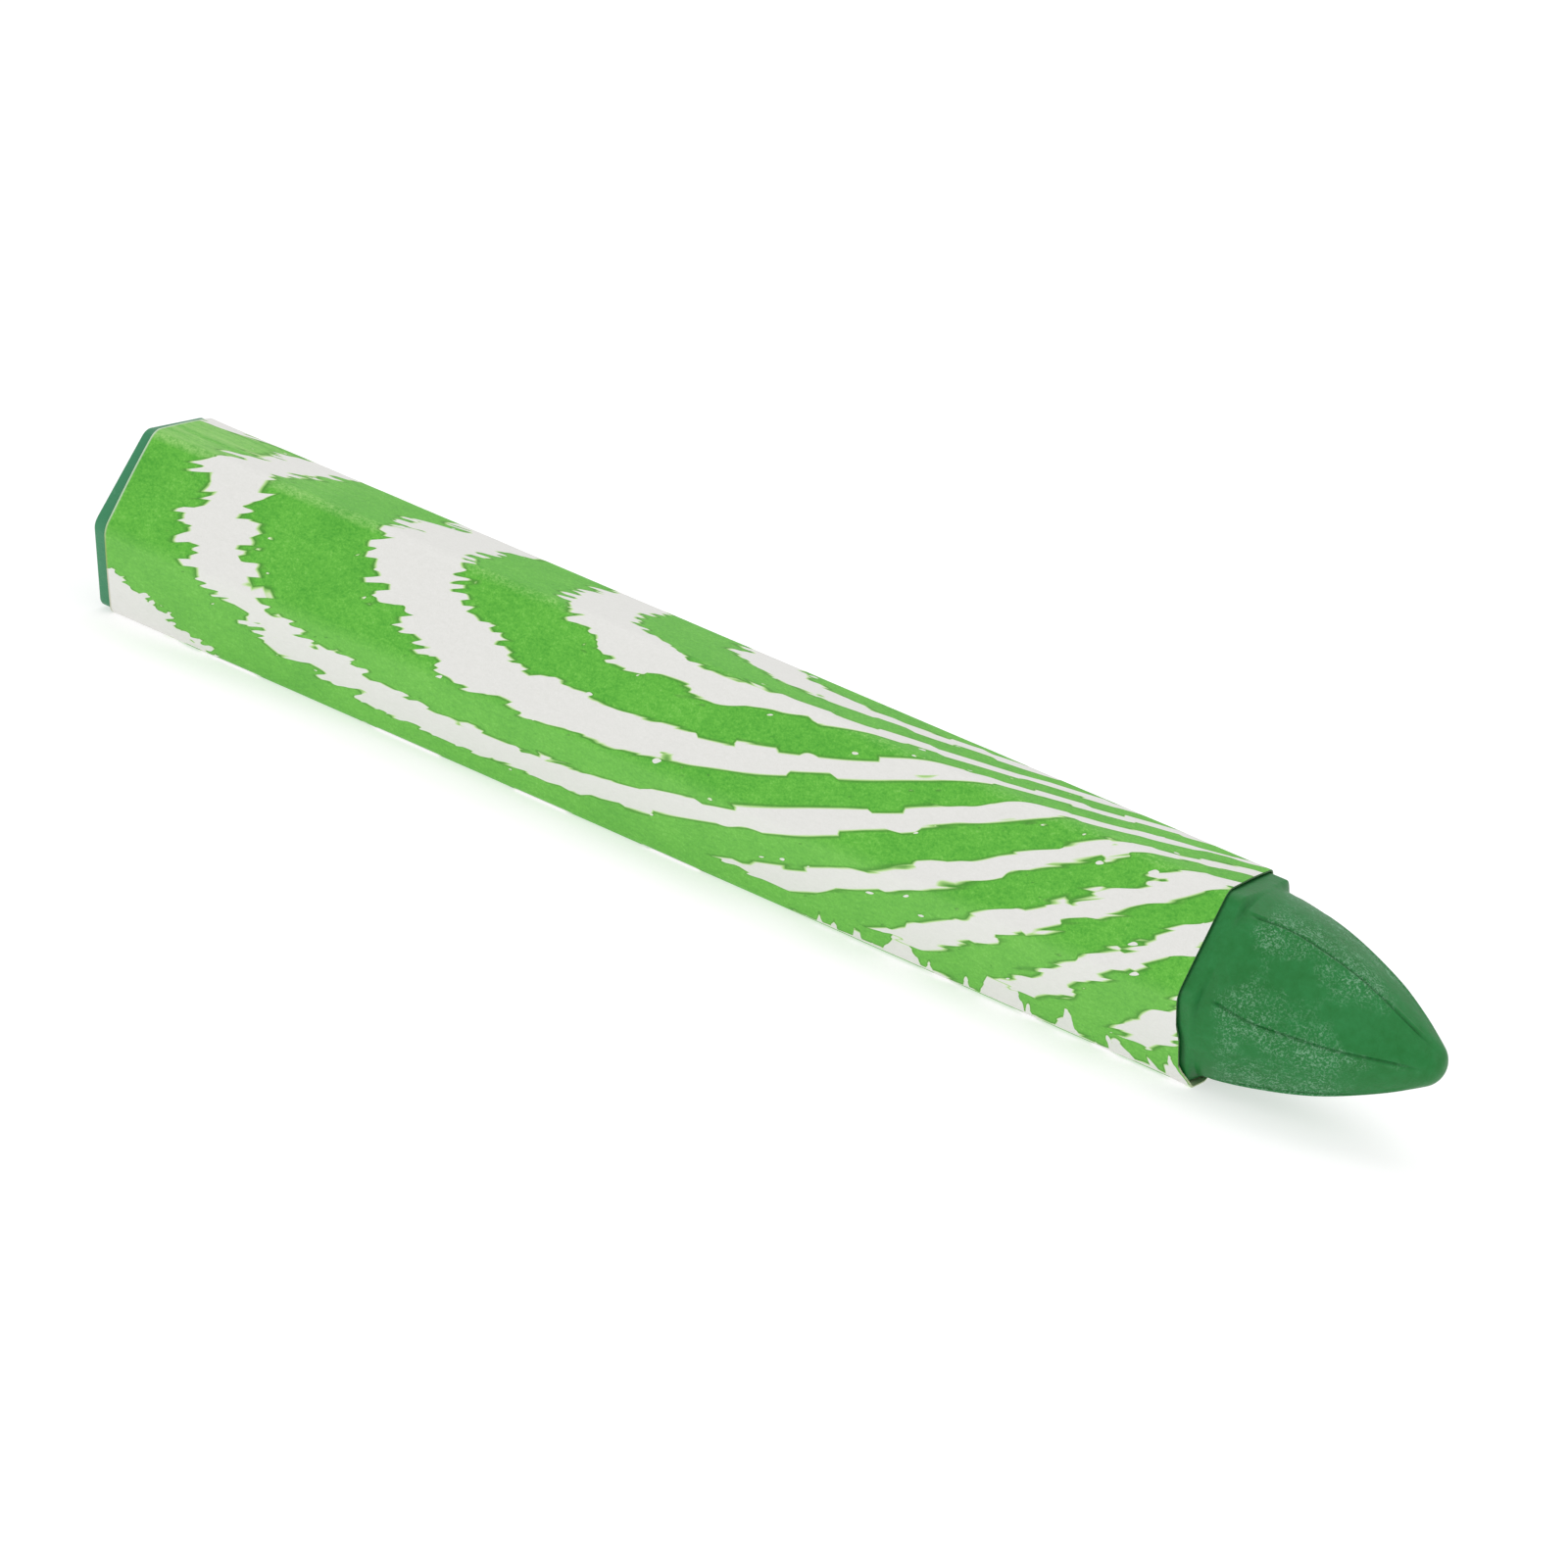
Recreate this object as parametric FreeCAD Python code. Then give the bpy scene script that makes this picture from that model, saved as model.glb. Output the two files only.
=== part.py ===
"""A hexagonal wax marking crayon in a rolled and glued paper wrapper, lying on one flat.

Frame: millimetres, +X towards the drawing tip, +Z up, +Y towards the glued seam.
The origin is on the resting plane, under the crayon's axis, half way along its length.
Facets are numbered by their normal's angle about X, from +Y towards +Z: facet 0 at -30 degrees,
1 at 30, 2 on top, 3 at 150, 4 at 210, and 5 underneath, on the resting plane.
"""
import FreeCAD, Part
import math
import os

from FreeCAD import Vector

# ---- the wax stick: one casting -------------------------------------------------------------
STICK_LENGTH = 120.0        # rear face to the apex of the tip
WAX_FLATS = 15.5            # across the flats of the hexagonal shank
WAX_ARRIS_RADIUS = 1.2      # rounding of the shank's six long edges
REAR_CHAMFER = 0.45         # break of the edge round the rear face
COLLAR_CHAMFER = 0.35       # break of the shank's front edge, behind the tip

# ---- the drawing tip: six facets that curve in to a ball nose -------------------------------
TIP_LENGTH = 17.8           # collar face to the apex
FACET_STEP = 0.15           # how far the tip's facets stand in from the shank's flats
CORNER_STEP = 1.0           # how far the tip's corners stand in from the shank's long edges
TIP_BASE_SLOPE = 4.0        # degrees that the tip already leans in at the collar
NOSE_RADIUS = 1.9           # ball at the apex
TIP_ROOT = 2.0              # how far the tip's block is carried back inside the shank

# ---- the wrapper: one printed sheet, rolled round the shank ---------------------------------
PAPER_THICKNESS = 0.17
COLLAR_SHOWING = 1.2        # shank standing out of the wrapper at the front
REAR_SHOWING = 1.0          # wax standing out of the wrapper at the rear
OVERLAP_WIDTH = 10.0        # round the crayon, from the leading edge to the trailing edge
LEADING_EDGE = -0.5         # where the sheet starts on facet 0, from that facet's middle
STEP_RAMP = 1.5             # width in which the outer layer climbs over the leading edge
STEP_GAP = 0.1              # space left between that ramp and the leading edge

# ---- glue, which also sets how tightly the paper lies ---------------------------------------
WRAP_CLEARANCE = 0.08       # between wax and paper: the thickness of the glue under the edge
SEAM_CLEARANCE = 0.05       # between the two layers: the thickness of the seam's glue
LEAD_GLUE_WIDTH = 2.6       # strip that tacks the leading edge to the wax
GLUE_SETBACK = 0.3          # glue kept this far from every edge of the paper

# ---- worked out from the sizes above --------------------------------------------------------
SIDES = 6
TURN = math.radians(360.0 / SIDES)
HALF_TURN = TURN / 2.0
FACET_0_ANGLE = -HALF_TURN
WAX_HALF = WAX_FLATS / 2.0
INNER_LEVEL = WAX_HALF + WRAP_CLEARANCE
OUTER_LEVEL = INNER_LEVEL + PAPER_THICKNESS + SEAM_CLEARANCE
AXIS_HEIGHT = INNER_LEVEL + PAPER_THICKNESS
FLAT_HALF = (WAX_HALF - WAX_ARRIS_RADIUS) * math.tan(HALF_TURN)
ARRIS_CENTRE = (WAX_HALF - WAX_ARRIS_RADIUS) / math.cos(HALF_TURN)

REAR_X = -STICK_LENGTH / 2.0
APEX_X = STICK_LENGTH / 2.0
COLLAR_X = APEX_X - TIP_LENGTH
PAPER_REAR_X = REAR_X + REAR_SHOWING
PAPER_LENGTH = COLLAR_X - COLLAR_SHOWING - PAPER_REAR_X

TIP_FACET_HALF = WAX_HALF - FACET_STEP
TIP_CORNER_RADIUS = ARRIS_CENTRE + WAX_ARRIS_RADIUS - CORNER_STEP


def section_point(x, radius, angle):
    """Point at a distance from the crayon's axis, at an angle about it, in the section at x."""
    return Vector(x, radius * math.cos(angle), AXIS_HEIGHT + radius * math.sin(angle))


def facet_point(x, facet, along, level):
    """Point over a facet: along its width from its middle, and level from the axis."""
    angle = FACET_0_ANGLE + facet * TURN
    across = Vector(0.0, -math.sin(angle), math.cos(angle))
    return section_point(x, level, angle) + across * along


def roll_edges(x, stations, lift=0.0):
    """Edges of a line rolled round the shank: straight on a facet, an arc from facet to facet.

    stations are (facet, along, level); lift is added to every level.
    """
    edges = []
    for (facet, along, level), (next_facet, next_along, next_level) in zip(stations, stations[1:]):
        start = facet_point(x, facet, along, level + lift)
        end = facet_point(x, next_facet, next_along, next_level + lift)
        if facet == next_facet:
            edges.append(Part.LineSegment(start, end).toShape())
            continue
        arris_radius = WAX_ARRIS_RADIUS + level + lift - WAX_HALF
        arris_angle = FACET_0_ANGLE + facet * TURN + HALF_TURN
        crown = section_point(x, ARRIS_CENTRE + arris_radius, arris_angle)
        edges.append(Part.Arc(start, crown, end).toShape())
    return edges


def rolled_strip(x, length, stations, thickness):
    """Solid sheet or film that follows the stations and has an even thickness outwards."""
    inner = roll_edges(x, stations)
    outer = roll_edges(x, stations, thickness)
    first = Part.LineSegment(facet_point(x, *stations[0]),
                             facet_point(x, *stations[0]) + offset(stations[0], thickness)).toShape()
    last = Part.LineSegment(facet_point(x, *stations[-1]),
                            facet_point(x, *stations[-1]) + offset(stations[-1], thickness)).toShape()
    wire = Part.Wire(Part.__sortEdges__(inner + outer + [first, last]))
    return Part.Face(wire).extrude(Vector(length, 0.0, 0.0))


def offset(station, distance):
    """Vector straight out from the facet of a station."""
    facet, along, level = station
    return facet_point(0.0, facet, along, level + distance) - facet_point(0.0, facet, along, level)


def round_the_shank(level, first_facet, facets):
    """Stations across whole facets at one level, each from its first arris to its last."""
    stations = []
    for facet in range(first_facet, first_facet + facets):
        stations.append((facet, -FLAT_HALF, level))
        stations.append((facet, FLAT_HALF, level))
    return stations


def trailing_edge():
    """Place of the outer layer's edge on facet 1, which makes the overlap its full width."""
    arris_arc = (WAX_ARRIS_RADIUS + OUTER_LEVEL - WAX_HALF) * TURN
    to_facet_1 = (FLAT_HALF - LEADING_EDGE) + arris_arc
    return OVERLAP_WIDTH - to_facet_1 - FLAT_HALF


def shank():
    """Hexagonal prism with rounded long edges and both ends broken by a chamfer."""
    stations = round_the_shank(WAX_HALF, 0, SIDES)
    stations.append((SIDES, -FLAT_HALF, WAX_HALF))
    wire = Part.Wire(Part.__sortEdges__(roll_edges(REAR_X, stations)))
    prism = Part.Face(wire).extrude(Vector(COLLAR_X - REAR_X, 0.0, 0.0))
    rear_edges = [edge for edge in prism.Edges if edge.BoundBox.XMax < REAR_X + 0.01]
    prism = prism.makeChamfer(REAR_CHAMFER, rear_edges)
    front_edges = [edge for edge in prism.Edges if edge.BoundBox.XMin > COLLAR_X - 0.01]
    return prism.makeChamfer(COLLAR_CHAMFER, front_edges)


def ogive_arc(base_half):
    """Centre and radius of the side arc of an ogive.

    The arc starts at the collar, base_half from the axis and leaning in by the base slope, and
    it is tangent to the ball of the nose, whose front is the apex. Places are (along, out),
    along being measured from the collar.
    """
    slope = math.radians(TIP_BASE_SLOPE)
    inward = (-math.sin(slope), -math.cos(slope))
    to_ball = (-(TIP_LENGTH - NOSE_RADIUS), base_half)
    distance_squared = to_ball[0] ** 2 + to_ball[1] ** 2
    lean = inward[0] * to_ball[0] + inward[1] * to_ball[1]
    radius = (distance_squared - NOSE_RADIUS ** 2) / (-2.0 * (lean + NOSE_RADIUS))
    centre = (inward[0] * radius, base_half + inward[1] * radius)
    return centre, radius


def tip_facet_block():
    """Block between two opposite tip facets: an arc above and below, met in front of the apex."""
    half = TIP_FACET_HALF
    centre, radius = ogive_arc(half)
    meet = centre[0] + math.sqrt(radius ** 2 - centre[1] ** 2)
    middle = meet / 2.0
    middle_half = centre[1] + math.sqrt(radius ** 2 - (middle - centre[0]) ** 2)
    wide = WAX_FLATS
    y = -wide

    def place(along, out):
        return Vector(COLLAR_X + along, y, AXIS_HEIGHT + out)

    edges = [
        Part.LineSegment(place(-TIP_ROOT, -half), place(-TIP_ROOT, half)).toShape(),
        Part.LineSegment(place(-TIP_ROOT, half), place(0.0, half)).toShape(),
        Part.Arc(place(0.0, half), place(middle, middle_half), place(meet, 0.0)).toShape(),
        Part.Arc(place(meet, 0.0), place(middle, -middle_half), place(0.0, -half)).toShape(),
        Part.LineSegment(place(0.0, -half), place(-TIP_ROOT, -half)).toShape(),
    ]
    return Part.Face(Part.Wire(edges)).extrude(Vector(0.0, 2.0 * wide, 0.0))


def tip_round_block():
    """Body of revolution that rounds the tip's corners and makes its ball nose."""
    base = TIP_CORNER_RADIUS
    centre, radius = ogive_arc(base)
    ball = TIP_LENGTH - NOSE_RADIUS
    reach = math.hypot(ball - centre[0], -centre[1])
    toward = ((ball - centre[0]) / reach, -centre[1] / reach)
    tangent = (centre[0] + toward[0] * radius, centre[1] + toward[1] * radius)
    middle = tangent[0] / 2.0
    middle_out = centre[1] + math.sqrt(radius ** 2 - (middle - centre[0]) ** 2)
    nose_angle = math.atan2(tangent[1], tangent[0] - ball) / 2.0

    def place(along, out):
        return Vector(COLLAR_X + along, 0.0, AXIS_HEIGHT + out)

    nose_middle = place(ball + NOSE_RADIUS * math.cos(nose_angle), NOSE_RADIUS * math.sin(nose_angle))
    edges = [
        Part.LineSegment(place(-TIP_ROOT, 0.0), place(-TIP_ROOT, base)).toShape(),
        Part.LineSegment(place(-TIP_ROOT, base), place(0.0, base)).toShape(),
        Part.Arc(place(0.0, base), place(middle, middle_out), place(*tangent)).toShape(),
        Part.Arc(place(*tangent), nose_middle, place(TIP_LENGTH, 0.0)).toShape(),
        Part.LineSegment(place(TIP_LENGTH, 0.0), place(-TIP_ROOT, 0.0)).toShape(),
    ]
    profile = Part.Face(Part.Wire(edges))
    return profile.revolve(place(0.0, 0.0), Vector(1.0, 0.0, 0.0), 360.0)


def drawing_tip():
    """Six curved facets from three crossed blocks, with round corners and nose."""
    tip = tip_round_block()
    on_axis = Vector(0.0, 0.0, AXIS_HEIGHT)
    for block_number in range(SIDES // 2):
        block = tip_facet_block()
        block.rotate(on_axis, Vector(1.0, 0.0, 0.0), block_number * math.degrees(TURN))
        tip = tip.common(block)
    return tip


def wax_stick():
    """Shank and drawing tip, cast in one."""
    return shank().fuse(drawing_tip()).removeSplitter()


def paper_wrapper():
    """One sheet: a full turn from the leading edge, then up over it and on to the trailing edge."""
    full_turn = round_the_shank(INNER_LEVEL, 1, SIDES - 1)
    stations = [(0, LEADING_EDGE, INNER_LEVEL), (0, FLAT_HALF, INNER_LEVEL)] + full_turn
    stations += [
        (SIDES, -FLAT_HALF, INNER_LEVEL),
        (SIDES, LEADING_EDGE - STEP_GAP - STEP_RAMP, INNER_LEVEL),
        (SIDES, LEADING_EDGE - STEP_GAP, OUTER_LEVEL),
        (SIDES, FLAT_HALF, OUTER_LEVEL),
        (SIDES + 1, -FLAT_HALF, OUTER_LEVEL),
        (SIDES + 1, trailing_edge(), OUTER_LEVEL),
    ]
    return rolled_strip(PAPER_REAR_X, PAPER_LENGTH, stations, PAPER_THICKNESS)


def seam_glue():
    """Film of glue between the two layers of the overlap."""
    level = INNER_LEVEL + PAPER_THICKNESS
    stations = [
        (0, LEADING_EDGE + GLUE_SETBACK, level),
        (0, FLAT_HALF, level),
        (1, -FLAT_HALF, level),
        (1, trailing_edge() - GLUE_SETBACK, level),
    ]
    return rolled_strip(PAPER_REAR_X + GLUE_SETBACK, PAPER_LENGTH - 2.0 * GLUE_SETBACK,
                        stations, SEAM_CLEARANCE)


def lead_edge_glue():
    """Film of glue that tacks the sheet's leading edge to the wax."""
    start = LEADING_EDGE + GLUE_SETBACK
    stations = [(0, start, WAX_HALF), (0, start + LEAD_GLUE_WIDTH, WAX_HALF)]
    return rolled_strip(PAPER_REAR_X + GLUE_SETBACK, PAPER_LENGTH - 2.0 * GLUE_SETBACK,
                        stations, WRAP_CLEARANCE)


def main():
    """Build every node and write it to its own STEP file."""
    os.makedirs("parts", exist_ok=True)
    nodes = {
        "wax_stick": wax_stick(),
        "paper_wrapper": paper_wrapper(),
        "seam_glue": seam_glue(),
        "lead_edge_glue": lead_edge_glue(),
    }
    for name, shape in nodes.items():
        shape.exportStep("parts/" + name + ".step")
        box = shape.BoundBox
        print("%-16s solids %d valid %s volume %9.2f mm3  X %.2f..%.2f Y %.2f..%.2f Z %.2f..%.2f" % (
            name, len(shape.Solids), shape.isValid(), shape.Volume,
            box.XMin, box.XMax, box.YMin, box.YMax, box.ZMin, box.ZMax))


main()
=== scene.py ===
"""A hexagonal wax marking crayon in a rolled paper wrapper: its finished surfaces and its studio.

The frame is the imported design's own: metres, +X towards the drawing tip, +Z up, the crayon lying on
one flat. Facets are numbered by the angle of their normal about X, from +Y towards +Z: facet 0 at
-30 degrees, 1 at 30, 2 on top, 3 at 150, 4 at 210 and 5 underneath.
"""

import logging
import math
from dataclasses import dataclass, field
from enum import Enum

import bpy
import numpy as np
from mathutils import Matrix, Vector


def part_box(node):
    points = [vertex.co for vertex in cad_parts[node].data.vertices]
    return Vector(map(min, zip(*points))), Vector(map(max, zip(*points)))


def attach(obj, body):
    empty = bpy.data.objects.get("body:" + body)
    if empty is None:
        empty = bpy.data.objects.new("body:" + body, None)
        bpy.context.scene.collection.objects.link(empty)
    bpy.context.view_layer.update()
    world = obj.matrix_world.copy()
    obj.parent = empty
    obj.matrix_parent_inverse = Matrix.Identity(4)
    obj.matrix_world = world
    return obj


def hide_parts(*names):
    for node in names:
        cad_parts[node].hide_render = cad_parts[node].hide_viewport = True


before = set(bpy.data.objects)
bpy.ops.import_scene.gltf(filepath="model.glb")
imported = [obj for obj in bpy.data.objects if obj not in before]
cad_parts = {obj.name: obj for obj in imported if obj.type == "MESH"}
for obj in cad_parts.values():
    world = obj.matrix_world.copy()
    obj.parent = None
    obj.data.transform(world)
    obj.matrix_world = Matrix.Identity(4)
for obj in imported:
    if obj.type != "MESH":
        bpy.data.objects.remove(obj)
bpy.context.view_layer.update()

Colour = tuple[float, float, float]

LOG = logging.getLogger("crayon")
MM = 0.001
SIDES = 6
TURN = 2.0 * math.pi / SIDES
HALF_TURN = TURN / 2.0
FACET_0_ANGLE = -HALF_TURN
CAMERA_FACET = 3


class Slot(Enum):
    """Material slots of the record."""

    WAX = "pigmented_wax"
    PAPER = "printed_paper"
    GLUE = "dried_glue"


class Face(Enum):
    """Which of the wrapper's two materials a face of its sheet takes."""

    PRINTED = 0
    BARE = 1


# ---- small numpy helpers ----


def smooth_step(value: np.ndarray, low: float, high: float) -> np.ndarray:
    """Rise from 0 at low to 1 at high with level ends: 3t^2 - 2t^3."""
    t = np.clip((value - low) / (high - low), 0.0, 1.0)
    return t * t * (3.0 - 2.0 * t)


def waviness(a: np.ndarray, b: np.ndarray, wavelength: float, seed: float) -> np.ndarray:
    """Gentle unevenness between about -1 and 1: five crossing sines of unrelated directions.

    Args:
        a: first coordinate, in millimetres.
        b: second coordinate, in millimetres.
        wavelength: the longest wave, in millimetres.
        seed: shifts every wave's phase.

    Returns:
        The unevenness at each place.
    """
    total = np.zeros(np.broadcast(a, b).shape)
    for wave in range(5):
        heading = 2.4 * wave + 0.7 * seed
        pitch = 2.0 * math.pi * (1.0 + 0.37 * wave) / wavelength
        total = total + np.sin(pitch * (a * math.cos(heading) + b * math.sin(heading)) + seed + 1.9 * wave)
    return total / 3.0


# ---- shader building ----


class Value:
    """A number that varies over a surface: a node's output with Python's arithmetic."""

    def __init__(self, shader: "Shader", socket: bpy.types.NodeSocket) -> None:
        """Wrap a socket of the given shader."""
        self.shader = shader
        self.socket = socket

    def _math(self, operation: str, *operands: "Value | float", clamp: bool = False) -> "Value":
        """Add one Math node on the operands.

        Args:
            operation: the node's operation.
            operands: its inputs, in order.
            clamp: whether the result is kept between 0 and 1.

        Returns:
            The node's result.
        """
        inputs = {number: operand for number, operand in enumerate(operands)}
        settings = {"operation": operation, "use_clamp": clamp}
        return self.shader.node("ShaderNodeMath", settings, inputs)

    def __add__(self, other: "Value | float") -> "Value":
        """self + other."""
        return self._math("ADD", self, other)

    __radd__ = __add__

    def __sub__(self, other: "Value | float") -> "Value":
        """self - other."""
        return self._math("SUBTRACT", self, other)

    def __rsub__(self, other: float) -> "Value":
        """other - self."""
        return self._math("SUBTRACT", other, self)

    def __mul__(self, other: "Value | float") -> "Value":
        """self * other."""
        return self._math("MULTIPLY", self, other)

    __rmul__ = __mul__

    def __truediv__(self, other: "Value | float") -> "Value":
        """self / other."""
        return self._math("DIVIDE", self, other)

    def __rtruediv__(self, other: float) -> "Value":
        """other / self."""
        return self._math("DIVIDE", other, self)

    def __pow__(self, other: float) -> "Value":
        """self to a power."""
        return self._math("POWER", self, other)

    def __abs__(self) -> "Value":
        """Size without sign."""
        return self._math("ABSOLUTE", self)

    def log(self) -> "Value":
        """Natural logarithm."""
        return self._math("LOGARITHM", self, math.e)

    def nearest_whole(self) -> "Value":
        """Nearest whole number."""
        return self._math("ROUND", self)

    def at_least(self, other: "Value | float") -> "Value":
        """The larger of the two."""
        return self._math("MAXIMUM", self, other)

    def at_most(self, other: "Value | float") -> "Value":
        """The smaller of the two."""
        return self._math("MINIMUM", self, other)

    def ramp(self, low: float, high: float) -> "Value":
        """Rise from 0 at low to 1 at high and stay level outside; low may be above high."""
        return self._math("MULTIPLY_ADD", self, 1.0 / (high - low), -low / (high - low), clamp=True)


class Shader:
    """Node tree of one material."""

    def __init__(self, name: str) -> None:
        """Start a material with a Principled surface."""
        self.material = bpy.data.materials.new(name)
        self.material.use_nodes = True
        self.tree = self.material.node_tree
        self.surface = self.tree.nodes["Principled BSDF"]

    def node(self, kind: str, settings: dict, inputs: dict, output: int | str = 0) -> Value:
        """Add a node, with its settings first and then its sockets.

        Args:
            kind: the node's type.
            settings: attributes of the node.
            inputs: a value, colour or Value for each input, by name or number.
            output: which output is wanted.

        Returns:
            That output.
        """
        node = self.tree.nodes.new(kind)
        for setting, value in settings.items():
            setattr(node, setting, value)
        for key, value in inputs.items():
            self.plug(node, key, value)
        return Value(self, node.outputs[output])

    def plug(self, node: bpy.types.Node, key: int | str, value: object) -> None:
        """Set one input of a node to a link or a plain value."""
        if isinstance(value, Value):
            self.tree.links.new(value.socket, node.inputs[key])
        else:
            node.inputs[key].default_value = value

    def set(self, **inputs: object) -> None:
        """Set inputs of the Principled surface; an underscore in a name stands for a space."""
        for name, value in inputs.items():
            self.plug(self.surface, name.replace("_", " "), value)

    def object_place(self) -> Value:
        """Object coordinates, in millimetres."""
        place = self.node("ShaderNodeTexCoord", {}, {}, "Object")
        return self.scaled(place, (1.0 / MM,) * 3)

    def attribute(self, name: str) -> Value:
        """A vector stored on the mesh."""
        return self.node("ShaderNodeAttribute", {"attribute_name": name}, {}, "Vector")

    def scaled(self, vector: Value, factors: tuple[float, float, float]) -> Value:
        """A vector times a factor for each axis."""
        return self.node("ShaderNodeVectorMath", {"operation": "MULTIPLY"}, {0: vector, 1: factors})

    def parts(self, vector: Value) -> tuple[Value, Value, Value]:
        """The three numbers of a vector."""
        node = self.tree.nodes.new("ShaderNodeSeparateXYZ")
        self.plug(node, 0, vector)
        return tuple(Value(self, node.outputs[axis]) for axis in range(3))

    def joined(self, x: Value | float, y: Value | float, z: Value | float) -> Value:
        """A vector of three numbers."""
        return self.node("ShaderNodeCombineXYZ", {}, {0: x, 1: y, 2: z})

    def noise(self, place: Value, scale: float, detail: float = 2.0, rough: float = 0.5) -> Value:
        """Perlin noise, stretched so that it runs from about -1 to 1."""
        inputs = {"Vector": place, "Scale": scale, "Detail": detail, "Roughness": rough}
        plain = self.node("ShaderNodeTexNoise", {"noise_dimensions": "3D"}, inputs, 0)
        return plain * 4.0 - 2.0

    def flat_noise(self, x: Value, y: Value, layer: Value | float, detail: float = 0.0,
                   rough: float = 0.5) -> Value:
        """The same noise on two numbers; each layer has a pattern of its own."""
        return self.noise(self.joined(x, y, layer), 1.0, detail, rough)

    def mix(self, factor: Value | float, first: object, second: object) -> Value:
        """Colour that goes from first to second as factor goes from 0 to 1."""
        node = self.tree.nodes.new("ShaderNodeMix")
        node.data_type = "RGBA"
        self.plug(node, "Factor", factor)
        colours = [socket for socket in node.inputs if socket.type == "RGBA"]
        for socket, colour in zip(colours, (first, second)):
            if isinstance(colour, Value):
                self.tree.links.new(colour.socket, socket)
            else:
                socket.default_value = (*colour, 1.0)
        return Value(self, [socket for socket in node.outputs if socket.type == "RGBA"][0])

    def bump(self, height: Value, depth_mm: float) -> None:
        """Raise the surface by height times depth, through the Normal input."""
        inputs = {"Height": height, "Distance": depth_mm * MM, "Strength": 1.0}
        self.set(Normal=self.node("ShaderNodeBump", {}, inputs))


# ---- finishes ----


@dataclass(frozen=True)
class WaxFinish:
    """Cast pigmented wax: deep green with a satin skin, a bloom of pale flecks, and painted shade in the
    creases and at the edges.
    """

    green: Colour = (0.0045, 0.150, 0.022)
    light_green: Colour = (0.013, 0.196, 0.044)
    rear_green: Colour = (0.042, 0.232, 0.112)
    # painted shade: the colour laid in the creases, under the collar's edge and in the wrapper's shadow
    crease: Colour = (0.002, 0.085, 0.014)
    bloom: Colour = (0.27, 0.50, 0.33)
    bloom_cover: float = 0.55
    painted_shade_cover: float = 0.80
    rear_cover: float = 0.9
    grain_depth: float = 0.05

    def build(self) -> bpy.types.Material:
        """Make the material.

        A broad cloud and a fine mottle shade the green, the rear end is paler, and the bloom and
        the painted shade of the creases, the collar's edge and the wrapper's shadow lie on top.
        """
        shader = Shader("cast_wax")
        place = shader.object_place()
        along, _, _ = shader.parts(place)
        # the casting mark holds the painted shade first and the room for bloom second
        crease, fleck_room, _ = shader.parts(shader.attribute("casting"))
        cloud = shader.noise(place, 0.16, 3.0, 0.55)
        mottle = shader.noise(place, 1.3, 3.0, 0.65)
        tone = (cloud * 0.35 + mottle * 0.45 + 0.42).ramp(0.0, 1.0)
        colour = shader.mix(tone, self.green, self.light_green)
        colour = shader.mix(along.ramp(-55.0, -58.5) * self.rear_cover, colour, self.rear_green)
        bloom = self.flecks(shader, place, fleck_room)
        colour = shader.mix(bloom * self.bloom_cover, colour, self.bloom)
        # painted shade and shadow: the creases, the collar's edge and the wax under the wrapper's edge are
        # darkened
        colour = shader.mix(crease * self.painted_shade_cover, colour, self.crease)
        shader.set(Base_Color=colour, Roughness=bloom * 0.25 + mottle * 0.03 + 0.44)
        shader.set(IOR=1.44, Specular_IOR_Level=0.40)
        shader.bump(mottle * 0.35 + cloud * 0.8 + bloom * 0.45, self.grain_depth)
        return shader.material

    def flecks(self, shader: Shader, place: Value, room: Value) -> Value:
        """Short curled flecks of wax bloom, in drifts.

        A fleck is where a fine noise crosses zero, cut short by a second noise, and kept only
        inside the drifts of a coarse one.

        Args:
            shader: the material's tree.
            place: object coordinates in millimetres.
            room: how much of the surface the flecks may cover, from 0 to 1.

        Returns:
            The bloom's strength, from 0 to 1.
        """
        curl = abs(shader.noise(place, 1.9, 1.5, 0.5)).ramp(0.19, 0.04)
        stretched = shader.scaled(place, (0.8, 1.0, 1.0))
        fine_curl = abs(shader.noise(stretched, 3.2, 1.5, 0.5)).ramp(0.22, 0.05)
        short = shader.noise(place, 2.6, 1.0).ramp(-0.05, 0.40)
        short_fine = shader.noise(place, 4.4, 1.0).ramp(-0.15, 0.30)
        drift = (shader.noise(place, 0.26, 2.0, 0.55) + room * 1.4 - 0.62).ramp(-0.2, 0.9)
        dust = shader.noise(place, 6.0, 1.0).ramp(0.20, 0.70)
        return ((curl * short + fine_curl * short_fine + dust * 0.6) * drift).at_most(1.0)


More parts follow.
